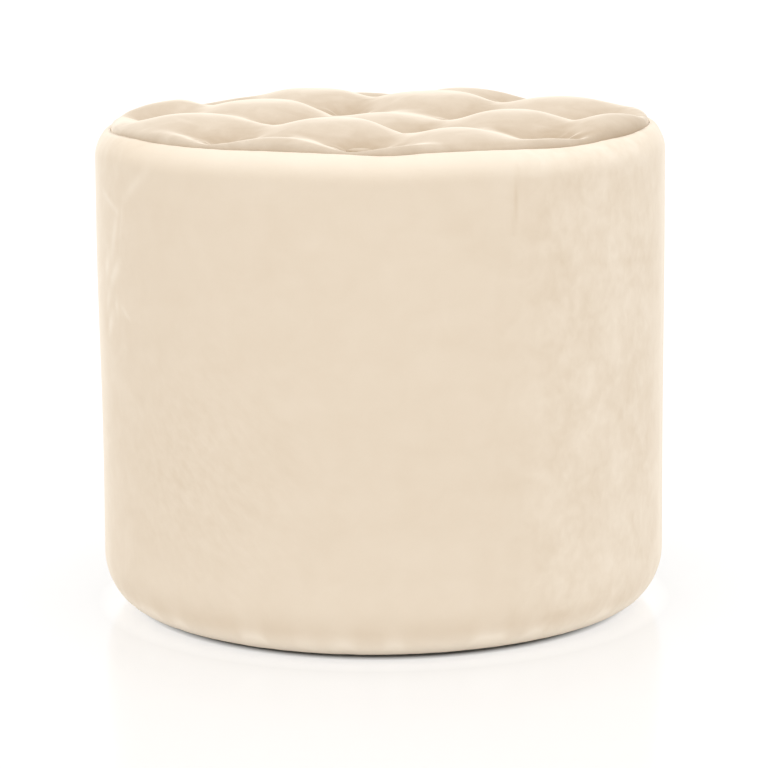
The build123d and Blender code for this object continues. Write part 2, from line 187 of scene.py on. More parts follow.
def velvet(name, deep, pale, painted_sheen):
    """Short-pile polyester velvet: matt and soft face on, with a sheen painted into its colour, paler where
    the surface is seen edge on.
    Broad clouds, brushed patches, flecks and slanting strokes lie over the pile, which is 0.3 mm thick in life
    and drawn coarser here, so that it shows."""
    material, tree, surface, place = new_material(name, 0.9)
    upright = add_node(tree, "ShaderNodeMapping", {"Vector": place, "Scale": (1.0, 1.0, 0.7)})
    level = add_node(tree, "ShaderNodeMapping", {"Vector": place, "Scale": (0.4, 0.4, 1.0)})
    slanting = add_node(
        tree,
        "ShaderNodeMapping",
        {"Vector": place, "Rotation": (0, STROKE_SLANT, 0), "Scale": (4.0, 1.0, 1.0)},
        vector_type="TEXTURE",
    )
    brushed = add_node(tree, "ShaderNodeAttribute", attribute_name="brushed").outputs["Fac"]
    crush = add_node(tree, "ShaderNodeAttribute", attribute_name="crush").outputs["Fac"]
    flecked = add_node(tree, "ShaderNodeMath", {0: crush, 1: 2.0}, operation="POWER").outputs[0]
    # Each point's tone, with the painted highlights and shade mixed in
    share = add_node(tree, "ShaderNodeAttribute", attribute_name="tone_and_painted_light").outputs["Fac"]
    # Painted sheen: the colour is drawn paler where the surface is seen edge on
    facing = add_node(tree, "ShaderNodeLayerWeight", {"Blend": 0.5}).outputs["Facing"]
    painted_sheen_share = add_node(tree, "ShaderNodeMath", {0: facing, 1: PAINTED_SHEEN_POWER}, operation="POWER").outputs[0]
    share = add_node(
        tree, "ShaderNodeMath", {0: painted_sheen_share, 1: painted_sheen, 2: share}, operation="MULTIPLY_ADD"
    ).outputs[0]
    # Each pattern's coordinates, size of spot, detail, distortion and weight
    patterns = {
        "clouds": (level.outputs[0], CLOUD_SIZE, 3.0, 0.5, CLOUD_WEIGHT),
        "patches": (place, PATCH_SIZE, 2.0, 0.6, crush),
        "flecks": (upright.outputs[0], FLECK_SIZE, 2.0, 0.4, flecked),
        "strokes": (slanting.outputs[0], STROKE_SIZE, 2.0, 0.0, brushed),
        "pile": (place, PILE_SIZE, 3.0, 0.0, PILE_WEIGHT),
    }
    tones = {}
    for pattern, (vector, size, detail, distortion, weight) in patterns.items():
        inputs = {"Vector": vector, "Scale": 1 / size, "Detail": detail, "Distortion": distortion}
        tones[pattern] = add_node(tree, "ShaderNodeTexNoise", inputs).outputs["Fac"]
        uneven = add_node(tree, "ShaderNodeMath", {0: tones[pattern], 1: 0.5}, operation="SUBTRACT")
        share = add_node(
            tree, "ShaderNodeMath", {0: uneven.outputs[0], 1: weight, 2: share}, operation="MULTIPLY_ADD"
        ).outputs[0]
    share = add_node(tree, "ShaderNodeMath", {0: share, 1: 1.0}, operation="MINIMUM", use_clamp=True)
    finish_surface(tree, surface, share.outputs[0], deep, pale, tones["pile"], PILE_DEPTH, 0.1)
    surface.inputs["Specular IOR Level"].default_value = 0.1
    surface.inputs["Sheen Weight"].default_value = SHEEN_WEIGHT
    surface.inputs["Sheen Roughness"].default_value = SHEEN_ROUGHNESS
    surface.inputs["Sheen Tint"].default_value = linear("#FFF0DC")
    return material


def spun_thread(name, deep, pale, twist):
    """Twisted fibre: fine slanting stripes of the plies, matt."""
    material, tree, surface, place = new_material(name, 0.75)
    plies = add_node(
        tree,
        "ShaderNodeTexWave",
        {"Vector": place, "Scale": 1 / (20 * twist), "Distortion": 1.5, "Detail": 2.0, "Detail Scale": 2.0},
        bands_direction="DIAGONAL",
    ).outputs["Fac"]
    finish_surface(tree, surface, plies, deep, pale, plies, 0.1 * MM, 0.5)
    return material


def sawn_wood(name, deep, pale, ring_width, along):
    """Straight-grained timber: soft rings drawn out along the length, and a fine fibre across them."""
    material, tree, surface, place = new_material(name, 0.62)
    stretch = [1.0 if axis != along else 0.06 for axis in "XYZ"]
    drawn_out = add_node(tree, "ShaderNodeMapping", {"Vector": place, "Scale": stretch}).outputs[0]
    rings = add_node(
        tree,
        "ShaderNodeTexNoise",
        {"Vector": drawn_out, "Scale": 1 / ring_width, "Detail": 4.0, "Distortion": 1.2},
    ).outputs["Fac"]
    fibre = add_node(
        tree, "ShaderNodeTexNoise", {"Vector": drawn_out, "Scale": 1 / WOOD_FIBRE, "Detail": 2.0}
    ).outputs["Fac"]
    share = add_node(tree, "ShaderNodeMath", {0: fibre, 1: 0.3, 2: rings}, operation="MULTIPLY_ADD")
    spread = add_node(
        tree, "ShaderNodeMapRange", {"Value": share.outputs[0], "From Min": 0.4, "From Max": 0.9}
    )
    finish_surface(tree, surface, spread.outputs[0], deep, pale, fibre, 0.15 * MM, 0.3)
    return material


def birch_plywood():
    """Rotary-cut birch veneer: pale faces with wandering grain, and dark and light plies on the edges."""
    material, tree, surface, place = new_material("birch_plywood", 0.58)
    level = add_node(tree, "ShaderNodeSeparateXYZ", {"Vector": place}).outputs["Z"]
    plies = add_node(tree, "ShaderNodeMath", {0: level, 1: 2 * pi / PLY_PAIR}, operation="MULTIPLY")
    edge = add_node(tree, "ShaderNodeMath", {0: plies.outputs[0]}, operation="SINE").outputs[0]
    drawn_out = add_node(tree, "ShaderNodeMapping", {"Vector": place, "Scale": (0.08, 1.0, 1.0)})
    grain = add_node(
        tree,
        "ShaderNodeTexNoise",
        {"Vector": drawn_out.outputs[0], "Scale": 1 / VENEER_GRAIN, "Detail": 5.0, "Distortion": 0.9},
    ).outputs["Fac"]
    share = add_node(tree, "ShaderNodeMath", {0: edge, 1: 0.16, 2: grain}, operation="MULTIPLY_ADD")
    spread = add_node(
        tree, "ShaderNodeMapRange", {"Value": share.outputs[0], "From Min": 0.25, "From Max": 0.75}
    )
    finish_surface(tree, surface, spread.outputs[0], "#B8935F", "#E2C697", grain, 0.1 * MM, 0.3)
    return material


def speckled(name, deep, pale, size, roughness, relief, metallic=0.0):
    """A surface of small uneven flecks: pressed fibre, cut foam, moulded grain or dulled plating."""
    material, tree, surface, place = new_material(name, roughness, metallic)
    flecks = add_node(
        tree, "ShaderNodeTexNoise", {"Vector": place, "Scale": 1 / size, "Detail": 4.0, "Roughness": 0.6}
    ).outputs["Fac"]
    spread = add_node(tree, "ShaderNodeMapRange", {"Value": flecks, "From Min": 0.3, "From Max": 0.7})
    finish_surface(tree, surface, spread.outputs[0], deep, pale, flecks, relief, 0.4)
    return material


def spunbond():
    """Black non-woven polypropylene: a thin felt of loose fibres, welded in a grid of small dents."""
    material, tree, surface, place = new_material("spunbond_polypropylene", 0.8)
    fibres = add_node(
        tree,
        "ShaderNodeTexNoise",
        {"Vector": place, "Scale": 1 / FELT_FIBRE, "Detail": 6.0, "Roughness": 0.7, "Distortion": 2.0},
    ).outputs["Fac"]
    welds = add_node(
        tree, "ShaderNodeTexVoronoi", {"Vector": place, "Scale": 1 / WELD_SPACING, "Randomness": 0.15}
    )
    dent = add_node(
        tree, "ShaderNodeMapRange", {"Value": welds.outputs["Distance"], "From Min": 0.15, "From Max": 0.4}
    ).outputs[0]
    share = add_node(tree, "ShaderNodeMath", {0: fibres, 1: dent}, operation="MULTIPLY").outputs[0]
    finish_surface(tree, surface, share, "#0D0D0E", "#333335", share, 0.2 * MM, 0.6)
    return material


# The last number of each velvet is how strong its painted sheen is
side_velvet = velvet("polyester_velvet_band", "#DECAB0", "#FFF3E2", 1.6)
# The seat and the buttons are the band's velvet given a deeper ground colour, as painted shade on the top
shaded_seat_velvet = velvet("polyester_velvet_seat", "#B9A388", "#FFF4E4", 1.2)
shaded_button_velvet = velvet("polyester_velvet_buttons", "#B9A388", "#FFF4E4", 0.2)
sewing_thread = spun_thread("polyester_sewing_thread", "#CDB99F", "#E6D6BF", 0.5 * MM)
steel_plating = speckled("zinc_plated_steel", "#A9A9A6", "#C9C9C4", 1.2 * MM, 0.34, 0.02 * MM, 1.0)
cut_foam = speckled("polyurethane_foam", "#DCCB93", "#F0E4B8", 0.9 * MM, 0.95, 0.4 * MM)

finishes = {
    "seat_board": birch_plywood(),
    "drum_wall": speckled("hardboard", "#54381F", "#7D5A38", 1.4 * MM, 0.7, 0.1 * MM),
    "post_1": sawn_wood("sawn_pine", "#C89E62", "#E8CB96", 6 * MM, "Z"),
    "twine_toggles": sawn_wood("turned_beech", "#B98B5C", "#DDB98C", 2.5 * MM, "Y"),
    "seat_screws": steel_plating,
    "wall_staples_upper": speckled("galvanised_wire", "#8E9092", "#B4B6B8", 0.8 * MM, 0.42, 0.02 * MM, 1.0),
    "button_backs": speckled("tinplate", "#B9B7B0", "#D6D4CC", 2 * MM, 0.28, 0.01 * MM, 1.0),
    "tuft_twines": spun_thread("waxed_linen_twine", "#A8946F", "#D3C29C", 0.8 * MM),
    "glides": speckled("moulded_polypropylene", "#141414", "#242424", 0.7 * MM, 0.45, 0.04 * MM),
    "seat_foam": cut_foam,
}
shared_finishes = {
    "seat_board": ["base_board"],
    "post_1": ["post_2", "post_3", "post_4", "post_5", "post_6"],
    "seat_screws": ["base_screws", "glide_nails"],
    "wall_staples_upper": ["wall_staples_lower", "cover_staples", "dust_cover_staples"],
    "seat_foam": ["side_foam"],
}
for node, finish in finishes.items():
    for name in [node] + shared_finishes.get(node, []):
        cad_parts[name].data.materials.clear()
        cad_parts[name].data.materials.append(finish)


# Seam: the line where the seat is sewn to the band. It wanders up and down, and is drawn out at both sides.

SEAM_SPREAD = 6 * MM
SEAM_SPREAD_FROM = 0.8
SEAM_SIDES_FROM = 0.88
SEAM_RISE_RIGHT = 2.5
SEAM_RISE_LEFT = 0.5
SEAM_RIPPLE_BACK = 0.9


def degrees_from_front(angle):
    """Degrees round from the front, to the right, for an angle from +X."""
    return (np.degrees(angle) + 90 + 180) % 360 - 180


def seam_spread(angle):
    """How far outside its mean radius the seam lies, at an angle from +X."""
    return SEAM_SPREAD * smooth_step(SEAM_SPREAD_FROM, 1, np.abs(np.cos(angle)))


def seam_wander(angle):
    """Height of the seam above its mean, at an angle from +X. The parts are in millimetres, and each bump has
    its place and width in degrees from the front."""
    from_front = degrees_from_front(angle)
    drawn_down = 2.0 * bump(from_front, 1, 7) + 2.4 * bump(from_front, 42, 13)
    stands_up = 1.3 * bump(from_front, -66, 8) + 0.9 * bump(from_front, -22, 10)
    back = SEAM_RIPPLE_BACK * smooth_step(80, 120, abs(from_front)) * ripple(angle, (5, 8, 13), 4)
    right = SEAM_RISE_RIGHT * smooth_step(SEAM_SIDES_FROM, 1, np.cos(angle))
    left = SEAM_RISE_LEFT * smooth_step(SEAM_SIDES_FROM, 1, -np.cos(angle))
    return (stands_up - drawn_down + back + (right + left)) * MM


# Seat: a tufted round of velvet over wadding

SEAT_RIM_RADIUS = SEAM_RADIUS - 0.05 * MM
SEAT_BOTTOM_Z = foam_top + MM
SEAT_HEM_INSET = 4 * MM
RING_STEP = 4.5 * MM
TUFT_MEAN = 8.2 * MM
TUFT_WAVE = 5.5 * MM
VALLEY_SHARPNESS = 1.7
CROWN_RISE = 17.8 * MM
CROWN_RUN = 46 * MM
CROWN_BLEND = 6 * MM
BUTTON_RADIUS = 11 * MM
BUTTON_PULL = 2.2 * MM
BUTTON_PULL_WIDTH = 14 * MM
PLEAT = 1.0 * MM
PLEAT_PLACE = 16 * MM
PLEAT_WIDTH = 10 * MM
PUCKER = 0.1 * MM
PUCKER_WIDTH = 13 * MM
SWELL_PRESSURE = 4
SWELL_MOST = 2.5 * MM
SWELL_FRAMES = 20

# The front buttons also draw the rim down beside them: not at the left, and fully from the middle on.
RIM_PULL = 2.5 * MM
RIM_PULL_WIDTH = 17 * MM
RIM_PULL_PLACE = 213 * MM
RIM_PULL_FRONT = -100 * MM
RIM_PULL_START = -110 * MM
RIM_PULL_FULL = -20 * MM

# The velvet rolls out a little beside the seam, and the mesh is drawn closer together there.
ROLL = 1.2 * MM
ROLL_PLACE = 3 * MM
ROLL_WIDTH = 4.5 * MM
ROLL_START = 1.5 * MM
RIM_CLOSENESS = 6 * MM
RIM_DRAW = 0.36

# Hand tufting is uneven: by its place in the grid, how far a puff stands above the even pattern, and how far
# its middle is drawn along the grid's first direction, in millimetres.
UNEVEN_PUFFS = {
    (0, 0): (-9, 0),
    (1, 0): (0, 4),
    (-1, 0): (6, 10),
    (-2, 0): (4, 16),
    (0, -1): (3, 14),
    (0, -2): (-6, 0),
    (1, -1): (-6, 0),
    (2, 0): (2, -14),
    (0, 1): (7, 0),
    (0, 2): (8, 0),
    (-1, 1): (4, 0),
}
PUFF_LIFT_WIDTH = 0.33
PUFF_DRAW_WIDTH = 0.45

GRID_STEPS = (-1.5, -0.5, 0.5, 1.5)
button_spots = [
    Matrix.Rotation(TUFT_TURN, 3, "Z") @ Vector((a * TUFT_PITCH, b * TUFT_PITCH, 0))
    for a in GRID_STEPS
    for b in GRID_STEPS
    if abs(a) + abs(b) < 2 * max(GRID_STEPS)
]


def puffs(t):
    """Rounded puffs with narrow valleys between them, from -1 to 1, one to each unit of t."""
    return 2 * np.abs(np.cos(pi * t)) ** VALLEY_SHARPNESS - 1


def tuft_waves(x, y):
    """The puffs along the grid's two directions, from -1 in a valley to 1, and how unevenly they stand."""
    u = (x * cos(TUFT_TURN) + y * sin(TUFT_TURN)) / TUFT_PITCH
    w = (-x * sin(TUFT_TURN) + y * cos(TUFT_TURN)) / TUFT_PITCH
    lift, aside = 0, 0
    for (i, j), (rise, drawn) in UNEVEN_PUFFS.items():
        apart = (u - i) ** 2 + (w - j) ** 2
        lift = lift + rise * MM * np.exp(-apart / (2 * PUFF_LIFT_WIDTH**2))
        near = np.exp(-apart / (2 * PUFF_DRAW_WIDTH**2))
        aside = aside + near * drawn * MM / TUFT_PITCH
    return puffs(u - aside), puffs(w), lift


def seat_height(x, y):
    """Height of the tufted seat above the seam."""
    wave_u, wave_w, lift = tuft_waves(x, y)
    height = TUFT_MEAN + TUFT_WAVE * (wave_u + wave_w) + lift
    for spot in button_spots:
        gap = np.hypot(x - spot.x, y - spot.y)
        height = height - BUTTON_PULL * bump(gap, 0, BUTTON_PULL_WIDTH)
        if spot.y < RIM_PULL_FRONT:
            outer = spot * RIM_PULL_PLACE / spot.length
            depth = RIM_PULL * smooth_step(RIM_PULL_START, RIM_PULL_FULL, spot.x)
            height = height - depth * bump(np.hypot(x - outer.x, y - outer.y), 0, RIM_PULL_WIDTH)
    inward = np.clip((SEAT_RIM_RADIUS - np.hypot(x, y)) / CROWN_RUN, 0, 1)
    crown = CROWN_RISE * np.sqrt(1 - (1 - inward) ** 2)
    return smooth_min(height, crown, CROWN_BLEND)


def even_disc(radius, step):
    """Points of a disc on rings of 6, 12, 18 and so on, evenly spaced, its triangles, and the last ring."""
    rings = round(radius / step)
    points = [(0.0, 0.0)]
    for ring in range(1, rings + 1):
        for n in range(6 * ring):
            angle = 2 * pi * n / (6 * ring)
            points.append((radius * ring / rings * cos(angle), radius * ring / rings * sin(angle)))
    faces = []
    for ring in range(1, rings + 1):
        inner, outer = 1 + 3 * (ring - 1) * (ring - 2), 1 + 3 * ring * (ring - 1)
        for side in range(6):
            for n in range(ring):
                a = outer + side * ring + n
                b = outer + (side * ring + n + 1) % (6 * ring)
                c = 0 if ring == 1 else inner + (side * (ring - 1) + n) % (6 * (ring - 1))
                faces.append((a, b, c))
                if n < ring - 1:
                    d = inner + (side * (ring - 1) + n + 1) % (6 * (ring - 1))
                    faces.append((c, b, d))
    return np.array(points), faces, 6 * rings


def swell(piece, pinned, pressure, most):
    """Blow the cloth up between the points that hold it, each point by at most a given length."""
    start = points_of(piece.data)
    held = piece.vertex_groups.new(name="held")
    held.add([int(n) for n in np.flatnonzero(pinned)], 1.0, "REPLACE")
    cloth = piece.modifiers.new("cloth", "CLOTH")
    cloth.settings.vertex_group_mass = "held"
    cloth.settings.use_pressure = True
    cloth.settings.uniform_pressure_force = pressure
    cloth.settings.effector_weights.gravity = 0
    cloth.collision_settings.use_collision = False
    scene = bpy.context.scene
    for step in range(1, SWELL_FRAMES + 1):
        scene.frame_set(step)
    shape = points_of(piece.evaluated_get(bpy.context.evaluated_depsgraph_get()).data)
    piece.modifiers.remove(cloth)
    piece.vertex_groups.remove(held)
    scene.frame_set(1)
    move = shape - start
    length = np.linalg.norm(move, axis=1, keepdims=True)
    move = move * np.minimum(1, most / np.maximum(length, 1e-9))
    piece.data.vertices.foreach_set("co", (start + move).ravel())
    piece.data.update()


def close_below(piece, z):
    """Fill the open hem with a flat fan at the given height."""
    work = bmesh.new()
    work.from_mesh(piece.data)
    middle = work.verts.new((0, 0, z))
    for edge in [e for e in work.edges if e.is_boundary]:
        a, b = edge.verts
        if edge.link_loops[0].vert == a:
            a, b = b, a
        work.faces.new((a, b, middle))
    work.to_mesh(piece.data)
    work.free()


def gather(piece):
    """Small pleats where the velvet is drawn to a button, and puckers where it is sewn in."""
    points = points_of(piece.data)
    x, y, z = points.T
    on_top = smooth_step(SEAM_Z - 3 * MM, SEAM_Z + 1 * MM, z)
    radius = np.hypot(x, y)
    angle = np.arctan2(y, x)
    rim = np.exp(-np.clip(SEAT_RIM_RADIUS - radius, 0, 1) / PUCKER_WIDTH)
    lift = PUCKER * rim * ripple(angle, (29, 43, 61, 88), 7)
    for n, spot in enumerate(button_spots):
        gap = np.hypot(x - spot.x, y - spot.y)
        around = np.arctan2(y - spot.y, x - spot.x)
        pleats = ripple(around, (5, 7, 9), 20 + n)
        lift = lift + PLEAT * bump(gap, PLEAT_PLACE, PLEAT_WIDTH) * pleats
    points[:, 2] += lift * on_top
    piece.data.vertices.foreach_set("co", points.ravel())
    piece.data.update()


def make_seat():
    flat, faces, rim_count = even_disc(SEAT_RIM_RADIUS, RING_STEP)
    inward = SEAT_RIM_RADIUS - np.hypot(*flat.T)
    closer = RIM_DRAW * inward * np.exp(1 - inward / RIM_CLOSENESS)
    flat = flat * (1 + closer / np.maximum(SEAT_RIM_RADIUS - inward, MM))[:, None]
    angles = np.arctan2(flat[:, 1], flat[:, 0])
    out = smooth_step(0.6, 1, np.hypot(*flat.T) / SEAT_RIM_RADIUS)
    heights = SEAM_Z + seat_height(flat[:, 0], flat[:, 1]) + out * seam_wander(angles)
    inward = SEAT_RIM_RADIUS - np.hypot(*flat.T)
    roll = ROLL * bump(inward, ROLL_PLACE, ROLL_WIDTH) * (1 - np.exp(-inward / ROLL_START))
    roll = roll + seam_spread(angles) * (1 - inward / SEAT_RIM_RADIUS) ** 6
    spread = 1 + roll / np.maximum(np.hypot(*flat.T), MM)
    points = [(x * k, y * k, z) for (x, y), k, z in zip(flat, spread, heights)]
    pinned = [False] * (len(points) - rim_count) + [True] * rim_count
    for spot in button_spots:
        gap = np.hypot(flat[:, 0] - spot.x, flat[:, 1] - spot.y)
        for n in np.flatnonzero(gap < BUTTON_RADIUS):
            pinned[n] = True
    rim = list(range(len(points) - rim_count, len(points)))
    for inset, z in ((0, SEAM_Z - SEAM_DEPTH), (SEAT_HEM_INSET, SEAT_BOTTOM_Z)):
        lower = []
        for n in range(rim_count):
            angle = 2 * pi * n / rim_count
            radius = SEAT_RIM_RADIUS - inset + seam_spread(angle)
            lower.append(len(points))
            points.append((radius * cos(angle), radius * sin(angle), z))
            pinned.append(True)
        for n in range(rim_count):
            m = (n + 1) % rim_count
            faces.append((rim[n], lower[n], lower[m], rim[m]))
        rim = lower
    piece = new_piece("seat_cushion", points, faces, shaded_seat_velvet)
    swell(piece, np.array(pinned), SWELL_PRESSURE, SWELL_MOST)
    piece.modifiers.new("rounding", "SUBSURF").levels = 1
    keep_evaluated(piece)
    gather(piece)
    close_below(piece, SEAT_BOTTOM_Z)
    return piece


SEAT_NAP = 0.18
SEAT_PAINTED_SHADE = 0.24
SEAT_CRUSH = 0.3
VALLEY_SHADE = 0.05
RIM_PAINT_WIDTH = 12 * MM
RIM_SHADE_LIFT = 6 * MM
RIGHT_SHADE = 0.2
LEFT_GLINT = 0.35
LEFT_GLINT_PLACE = -83
LEFT_GLINT_WIDTH = 6


def paint_seat(piece):
    """How pale the seat is drawn: painted shade in the dips and valleys and lighter on the puffs, painted
    shade at the right rim, and a painted glint where the rim ends at the left."""
    x, y, z = points_of(piece.data).T
    near_rim = np.exp(-np.clip(SEAT_RIM_RADIUS - np.hypot(x, y), 0, 1) / RIM_PAINT_WIDTH)
    # Painted shade by height: the lower the velvet, the darker, lifted near the rim so that the rim keeps the
    # tone of the faces
    above_seam = z - SEAM_Z + RIM_SHADE_LIFT * near_rim
    angle = np.arctan2(y, x)
    # Painted shade on the right rim
    shade = RIGHT_SHADE * np.sqrt(near_rim) * smooth_step(0.6, 0.95, np.cos(angle))
    glint = LEFT_GLINT * bump(degrees_from_front(angle), LEFT_GLINT_PLACE, LEFT_GLINT_WIDTH) * near_rim**2
    wave_u, wave_w = tuft_waves(x, y)[:2]
    # Painted shade along the valleys between the puffs
    valley = np.maximum(smooth_step(-0.3, -1, wave_u), smooth_step(-0.3, -1, wave_w)) * (1 - near_rim)
    tone_and_painted_light = SEAT_NAP + SEAT_PAINTED_SHADE * smooth_step(-6 * MM, 16 * MM, above_seam) - VALLEY_SHADE * valley
    paint(piece, "tone_and_painted_light", tone_and_painted_light - shade + glint)
    paint(piece, "crush", np.full(len(x), SEAT_CRUSH))


seat = make_seat()
paint_seat(seat)
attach(seat, "root")
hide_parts("top_cover", "seat_wadding")


# Side band: velvet over wadding, rolled in at the seam, straight down, and turned under at the foot

SIDE_SEGMENTS = 540
SIDE_STEP = 3.0 * MM
LIP_RADIUS = 0.6 * MM
SHOULDER_ROUNDING = 22 * MM
PAD_DEPTH = 6 * MM
FOOT_Z = COVER_LIFT + FOOT_HEIGHT
SHOULDER_Z = SEAM_Z - SHOULDER_RADIUS


def arc_points(centre, radius, start, end):
    count = max(3, round(abs(end - start) * radius / SIDE_STEP))
    turns = np.linspace(start, end, count + 1)
    return [(centre[0] + radius * cos(t), centre[1] + radius * sin(t)) for t in turns]


def band_profile():
    """Radius and height of the band's face, from the seam down, under the foot and in to the hem."""
    edge = SEAM_RADIUS + 0.05 * MM
    centre = (BODY_RADIUS - SHOULDER_ROUNDING, SEAM_Z - SHOULDER_ROUNDING)
    top = acos((edge + LIP_RADIUS - centre[0]) / SHOULDER_ROUNDING)
    lip = (edge + LIP_RADIUS, centre[1] + SHOULDER_ROUNDING * sin(top) - LIP_RADIUS)
    line = [(edge, SEAM_Z - SEAM_DEPTH), (edge, SEAM_Z - 0.5 * SEAM_DEPTH)]
    line += arc_points(lip, LIP_RADIUS, pi, 0.55 * pi)
    line += arc_points(centre, SHOULDER_ROUNDING, top, 0)
    rows = round((centre[1] - FOOT_Z) / SIDE_STEP)
    line += [(BODY_RADIUS, z) for z in np.linspace(centre[1], FOOT_Z, rows + 1)[1:-1]]
    foot = BODY_RADIUS - FOOT_REACH
    turns = np.linspace(0, -pi / 2, round(FOOT_HEIGHT * pi / 2 / SIDE_STEP) + 1)
    line += [(foot + FOOT_REACH * cos(t), FOOT_Z + FOOT_HEIGHT * sin(t)) for t in turns]
    hem = BODY_RADIUS - FOOT_RADIUS - TURN_UNDER
    line += [(foot + (hem - foot) * share, COVER_LIFT) for share in (0.3, 0.65, 1.0)]
    return line


def band_lining():
    """The inside of the band, from its hem under the foot back up to the seam."""
    foot = BODY_RADIUS - FOOT_RADIUS
    return [
        (foot - TURN_UNDER, COVER_LIFT + 2 * MM),
        (foot, COVER_LIFT + 2 * MM),
        (BODY_RADIUS - PAD_DEPTH - 20 * MM, COVER_LIFT + 14 * MM),
        (BODY_RADIUS - PAD_DEPTH, FOOT_Z),
        (BODY_RADIUS - PAD_DEPTH, SHOULDER_Z),
        (SEAM_RADIUS + 1.8 * MM, SEAM_Z - SEAM_DEPTH),
    ]


# Creases that are pressed into the band's pile: from and to, each as degrees from the front and height in
# millimetres, then half width in millimetres, and how much painted light the mark gets: the pale marks are
# painted highlights along the creases, the negative ones painted shade in them.
CREASES = [
    ((-71, 377), (-62.5, 364), 2.5, 0.25),
    ((-59, 378), (-51, 402), 4.5, 0.18),
    ((-60, 379), (-62, 331), 2.0, 0.14),
    ((-63, 362), (-66, 325), 4.0, 0.25),
    ((-68, 322), (-70, 306), 5.0, 0.30),
    ((-62, 322), (-67, 299), 4.5, 0.28),
    ((-68, 294), (-70, 276), 4.0, 0.25),
    ((-64, 288), (-64, 277), 4.0, 0.28),
    ((-62, 284), (-58, 274), 2.0, 0.22),
    ((-66.5, 274), (-69, 256), 5.0, 0.34),
    ((26.5, 412), (25.5, 357), 1.8, -0.24),
    ((38, 392), (40, 382), 9.0, -0.12),
    ((45, 325), (70, 317), 4.0, -0.12),
]
CREASE_RISE = 1.2 * MM


def crease_relief(from_front, z):
    """How much painted highlight and shade the creases give at a place on the band, and how far they rise."""
    shade = 0
    along = np.radians(from_front) * BODY_RADIUS
    for start, end, width, painted_light_amount in CREASES:
        ax, az = radians(start[0]) * BODY_RADIUS, start[1] * MM
        bx, bz = radians(end[0]) * BODY_RADIUS, end[1] * MM
        length = np.hypot(bx - ax, bz - az)
        share = ((along - ax) * (bx - ax) + (z - az) * (bz - az)) / length**2
        share = np.clip(share, 0, 1)
        gap = np.hypot(along - ax - share * (bx - ax), z - az - share * (bz - az))
        fade = 0.4 + 0.6 * np.sin(pi * np.clip(share, 0.05, 0.95))
        shade = shade + painted_light_amount * bump(gap, 0, width * MM) * fade
    return shade, CREASE_RISE * shade


BAND_SWELL = 0.5 * MM
BAND_PUCKER = 0.12 * MM
BACK_GROOVE = 1.3 * MM
BAND_NAP = 0.39
LINING_NAP = 0.4
SHOULDER_HIGHLIGHT = 0.32
RIGHT_NAP = 0.12
LEFT_NAP = 0.05
LOW_PAINTED_LIGHT = 0.08
FOOT_PAINTED_LIGHT = 0.5
STREAK_NAP = 0.4
STREAK_SHADE = 0.1
BAND_CRUSH = 0.14
MOTTLED_CRUSH = 0.42
LEFT_CRUSH = 0.2
BACK_CRUSH = 0.2
BRUSHING = 0.4


def paint_band(piece, angle, z, crease_painted_light, lining_rows):
    """How pale the band is drawn, and how strongly its pile is crushed or brushed. The shoulder carries a
    painted highlight, faded at the left and the right; the low band and the foot are paler with painted light
    from the floor below; the creases carry painted highlights and shade; the right side and the far left are
    paler, the right is mottled, and strokes slant across the front left. Places round are in degrees."""
    from_front = degrees_from_front(angle)
    # Painted highlight along the shoulder below the seam, reaching further down on the right
    highlight_reach = (21 + 9 * smooth_step(0, 50, from_front)) * MM
    shoulder_highlight = smooth_step(highlight_reach, 3 * MM, np.clip(SEAM_Z - z, 0, 1))
    right = smooth_step(20, 55, from_front) * smooth_step(165, 120, from_front)
    mottled = smooth_step(18, 38, from_front) * smooth_step(85, 62, from_front)
    left = smooth_step(-45, -70, from_front) * smooth_step(-165, -120, from_front)
    highlight_fade = smooth_step(-28, -62, from_front) * smooth_step(-165, -120, from_front)
    shoulder_highlight = SHOULDER_HIGHLIGHT * shoulder_highlight * (1 - 0.8 * highlight_fade - 0.6 * right)
    tone_and_painted_light = BAND_NAP + shoulder_highlight + RIGHT_NAP * right + LEFT_NAP * left + crease_painted_light
    # Painted light from the floor: paler low on the band, and paler still at the foot
    tone_and_painted_light = tone_and_painted_light + LOW_PAINTED_LIGHT * smooth_step(150 * MM, 50 * MM, z) + FOOT_PAINTED_LIGHT * smooth_step(30 * MM, 5 * MM, z)
    streaks = np.clip(ripple(angle, (9, 14, 23, 37), 13), 0, 1)
    tone_and_painted_light = tone_and_painted_light + STREAK_NAP * streaks * bump(z, 16 * MM, 8 * MM)
    tone_and_painted_light = tone_and_painted_light - STREAK_SHADE * (1 - streaks) * bump(z, 30 * MM, 10 * MM)
    behind = smooth_step(80, 120, np.abs(from_front))
    crush = BAND_CRUSH + MOTTLED_CRUSH * mottled + LEFT_CRUSH * left + BACK_CRUSH * behind
    brushed = BRUSHING * bump(from_front, -38, 20) * bump(z, 150 * MM, 90 * MM)
    spare = np.zeros((SIDE_SEGMENTS, lining_rows))
    paint(piece, "brushed", np.concatenate([brushed, spare], axis=1).ravel())
    paint(piece, "tone_and_painted_light", np.concatenate([tone_and_painted_light, spare + LINING_NAP], axis=1).ravel())
    paint(piece, "crush", np.concatenate([crush, spare], axis=1).ravel())


